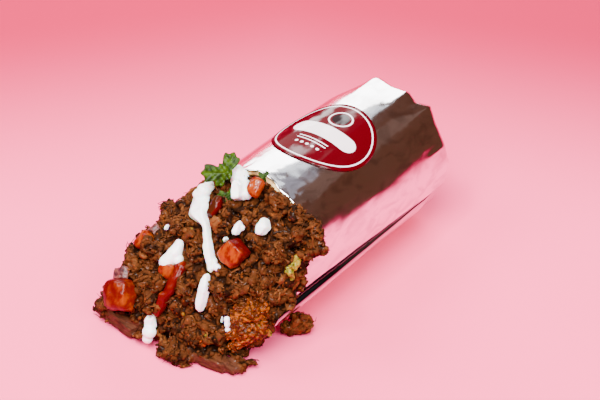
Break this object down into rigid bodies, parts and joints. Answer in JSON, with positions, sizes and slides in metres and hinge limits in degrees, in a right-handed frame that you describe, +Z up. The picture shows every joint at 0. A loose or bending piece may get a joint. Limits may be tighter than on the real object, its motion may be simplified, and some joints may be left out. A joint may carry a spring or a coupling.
{
  "type": "burrito",
  "caption": "Burrito wrapped in foil, lying on its side, its open end heaped with shredded beef, sour cream, diced tomato, rice and coriander, with a round label on top.",
  "frame": {"origin": "on the surface the burrito lies on, under the middle of its box", "axes": "+Z up, +Y along the roll towards the folded end of the foil, +X to the right as seen from the open end"},
  "size_m": [0.0936, 0.172, 0.0852],
  "materials": {
    "foil": "bright kitchen foil, nearly a mirror",
    "tortilla": "soft wheat tortilla, floury",
    "beef": "moist braised shreds, fibrous",
    "rice": "oily seasoned rice",
    "tomato": "wet, diced",
    "onion": "wet, translucent",
    "lettuce": "fresh, pale",
    "coriander": "fresh leaf",
    "sour_cream": "smooth and glossy",
    "label": "gloss-coated paper, crimson with a plain white design"
  },
  "bodies": {
    "root": {"foil_wrap": "foil", "tortilla": "tortilla", "filling": "beef", "seasoned_rice": "rice", "beef_crumb": "beef", "label": "label", "tomato_1": "tomato", "tomato_2": "tomato", "tomato_3": "tomato", "tomato_4": "tomato", "tomato_5": "tomato", "tomato_6": "tomato", "tomato_7": "tomato", "onion_1": "onion", "onion_2": "onion", "lettuce_1": "lettuce", "lettuce_2": "lettuce", "coriander_1": "coriander", "coriander_2": "coriander", "coriander_3": "coriander", "sour_cream_1": "sour_cream", "sour_cream_2": "sour_cream", "sour_cream_3": "sour_cream", "sour_cream_4": "sour_cream", "sour_cream_5": "sour_cream", "sour_cream_6": "sour_cream", "sour_cream_7": "sour_cream", "sour_cream_8": "sour_cream", "sour_cream_9": "sour_cream", "sour_cream_10": "sour_cream"}
  },
  "joints": []
}
